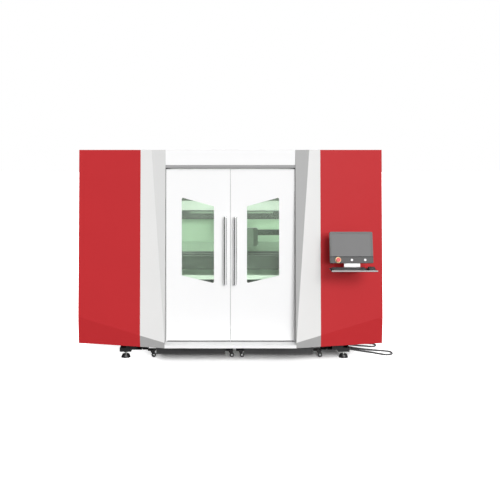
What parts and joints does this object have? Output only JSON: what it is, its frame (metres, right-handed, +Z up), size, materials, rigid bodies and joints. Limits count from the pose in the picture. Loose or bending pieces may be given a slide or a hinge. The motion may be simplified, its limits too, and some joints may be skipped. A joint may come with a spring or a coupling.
{
  "type": "fiber laser cutting machine",
  "caption": "Enclosed fiber laser cutting machine with faceted front, glazed double doors, console arm, gantry cutting head and scrap carts.",
  "frame": {"origin": "on the floor under the middle of the machine's box", "axes": "+Z up, +X to the operator's right, +Y from the doors to the back"},
  "size_m": [3.0514, 2.15, 2],
  "materials": {
    "red_paint": "semi-gloss powder coat",
    "silver_paint": "satin powder coat",
    "white_paint": "satin powder coat",
    "grey_paint": "satin powder coat",
    "dark_paint": "matt powder coat",
    "liner_paint": "satin powder coat",
    "bed_paint": "satin paint",
    "bare_steel": "ground steel",
    "slat_steel": "raw cut steel sheet",
    "plated_steel": "polished",
    "machined_alloy": "machined",
    "green_glass": "tinted safety glass",
    "screen_glass": "matt display glass",
    "black_plastic": "moulded",
    "grey_plastic": "moulded",
    "red_plastic": "moulded",
    "white_plastic": "moulded",
    "hose_rubber": "smooth",
    "wheel_rubber": "hard tread"
  },
  "bodies": {
    "machine": {"base_frame": "dark_paint", "levelling_feet": "plated_steel", "cabinet_frame": "grey_paint", "right_wing": "red_paint", "left_wing": "red_paint", "right_column": "silver_paint", "left_column": "silver_paint", "header_panel": "white_paint", "header_trim": "grey_paint", "sill_panel": "white_paint", "roof_panel": "white_paint", "right_side_panel": "white_paint", "left_side_panel": "white_paint", "rear_panel": "white_paint", "chamber_liner": "liner_paint", "bed_frame": "bed_paint", "bed_slats": "slat_steel", "scrap_hopper": "liner_paint", "rear_guide_beam": "bed_paint", "x_guide_rails": "bare_steel", "energy_chain": "black_plastic", "door_pivots": "bare_steel", "console_housing": "grey_paint", "console_screen": "screen_glass", "console_arm": "white_paint", "keyboard_tray": "white_paint", "keyboard": "grey_plastic", "mouse": "black_plastic", "control_cabinet": "grey_paint", "laser_source": "white_paint", "hose_glands": "black_plastic", "near_hose": "hose_rubber", "far_hose": "hose_rubber"},
    "left_cart": {"left_scrap_cart": "dark_paint"},
    "left_cart_left_fork": {"left_cart_left_fork": "bare_steel"},
    "left_cart_left_wheel": {"left_cart_left_wheel": "wheel_rubber"},
    "left_cart_right_fork": {"left_cart_right_fork": "bare_steel"},
    "left_cart_right_wheel": {"left_cart_right_wheel": "wheel_rubber"},
    "left_cart_rear_wheels": {"left_cart_rear_wheels": "wheel_rubber"},
    "right_cart": {"right_scrap_cart": "dark_paint"},
    "right_cart_left_fork": {"right_cart_left_fork": "bare_steel"},
    "right_cart_left_wheel": {"right_cart_left_wheel": "wheel_rubber"},
    "right_cart_right_fork": {"right_cart_right_fork": "bare_steel"},
    "right_cart_right_wheel": {"right_cart_right_wheel": "wheel_rubber"},
    "right_cart_rear_wheels": {"right_cart_rear_wheels": "wheel_rubber"},
    "left_door": {"left_door_panel": "white_paint", "left_door_window": "green_glass", "left_door_handle": "plated_steel"},
    "right_door": {"right_door_panel": "white_paint", "right_door_window": "green_glass", "right_door_handle": "plated_steel"},
    "gantry": {"gantry_beam": "machined_alloy", "gantry_end_cover": "grey_paint", "x_drive_motor": "black_plastic"},
    "carriage": {"head_carriage": "machined_alloy"},
    "head": {"z_slide": "machined_alloy", "cutting_head": "bare_steel"},
    "estop_button": {"estop_button": "red_plastic"},
    "start_button": {"start_button": "white_plastic"},
    "pause_button": {"pause_button": "white_plastic"}
  },
  "joints": [
    {"name": "left_cart_slide", "type": "slide", "parent": "machine", "child": "left_cart", "axis": [0, -1, 0], "range_m": [0, 1.2]},
    {"name": "left_cart_left_fork_swivel", "type": "hinge", "parent": "left_cart", "child": "left_cart_left_fork", "pos_m": [-0.7615, -0.542, 0.066], "axis": [0, 0, 1], "continuous": true},
    {"name": "left_cart_left_wheel_spin", "type": "hinge", "parent": "left_cart_left_fork", "child": "left_cart_left_wheel", "pos_m": [-0.7395, -0.542, 0.023], "axis": [0, 1, 0], "continuous": true},
    {"name": "left_cart_right_fork_swivel", "type": "hinge", "parent": "left_cart", "child": "left_cart_right_fork", "pos_m": [-0.0085, -0.542, 0.066], "axis": [0, 0, 1], "continuous": true},
    {"name": "left_cart_right_wheel_spin", "type": "hinge", "parent": "left_cart_right_fork", "child": "left_cart_right_wheel", "pos_m": [0.0135, -0.542, 0.023], "axis": [0, 1, 0], "continuous": true},
    {"name": "left_cart_rear_wheels_spin", "type": "hinge", "parent": "left_cart", "child": "left_cart_rear_wheels", "pos_m": [-0.385, 0.892, 0.023], "axis": [1, 0, 0], "continuous": true},
    {"name": "right_cart_slide", "type": "slide", "parent": "machine", "child": "right_cart", "axis": [0, -1, 0], "range_m": [0, 1.2]},
    {"name": "right_cart_left_fork_swivel", "type": "hinge", "parent": "right_cart", "child": "right_cart_left_fork", "pos_m": [0.0885, -0.542, 0.066], "axis": [0, 0, 1], "continuous": true},
    {"name": "right_cart_left_wheel_spin", "type": "hinge", "parent": "right_cart_left_fork", "child": "right_cart_left_wheel", "pos_m": [0.1105, -0.542, 0.023], "axis": [0, 1, 0], "continuous": true},
    {"name": "right_cart_right_fork_swivel", "type": "hinge", "parent": "right_cart", "child": "right_cart_right_fork", "pos_m": [0.8415, -0.542, 0.066], "axis": [0, 0, 1], "continuous": true},
    {"name": "right_cart_right_wheel_spin", "type": "hinge", "parent": "right_cart_right_fork", "child": "right_cart_right_wheel", "pos_m": [0.8635, -0.542, 0.023], "axis": [0, 1, 0], "continuous": true},
    {"name": "right_cart_rear_wheels_spin", "type": "hinge", "parent": "right_cart", "child": "right_cart_rear_wheels", "pos_m": [0.465, 0.892, 0.023], "axis": [1, 0, 0], "continuous": true},
    {"name": "left_door_hinge", "type": "hinge", "parent": "machine", "child": "left_door", "pos_m": [-0.585, -0.62, 1], "axis": [0, 0, -1], "range_deg": [0, 90]},
    {"name": "right_door_hinge", "type": "hinge", "parent": "machine", "child": "right_door", "pos_m": [0.585, -0.62, 1], "axis": [0, 0, 1], "range_deg": [0, 90]},
    {"name": "gantry_x_travel", "type": "slide", "parent": "machine", "child": "gantry", "axis": [1, 0, 0], "range_m": [-0.6, 0.42]},
    {"name": "carriage_y_travel", "type": "slide", "parent": "gantry", "child": "carriage", "axis": [0, 1, 0], "range_m": [-0.48, 0.25]},
    {"name": "head_z_travel", "type": "slide", "parent": "carriage", "child": "head", "axis": [0, 0, 1], "range_m": [-0.03, 0.06]},
    {"name": "estop_press", "type": "slide", "parent": "machine", "child": "estop_button", "axis": [0, 0.9781, -0.2079], "range_m": [0, 0.005]},
    {"name": "start_press", "type": "slide", "parent": "machine", "child": "start_button", "axis": [0, 0.9781, -0.2079], "range_m": [0, 0.002], "stiffness_N_per_m": 800},
    {"name": "pause_press", "type": "slide", "parent": "machine", "child": "pause_button", "axis": [0, 0.9781, -0.2079], "range_m": [0, 0.002], "stiffness_N_per_m": 800}
  ]
}
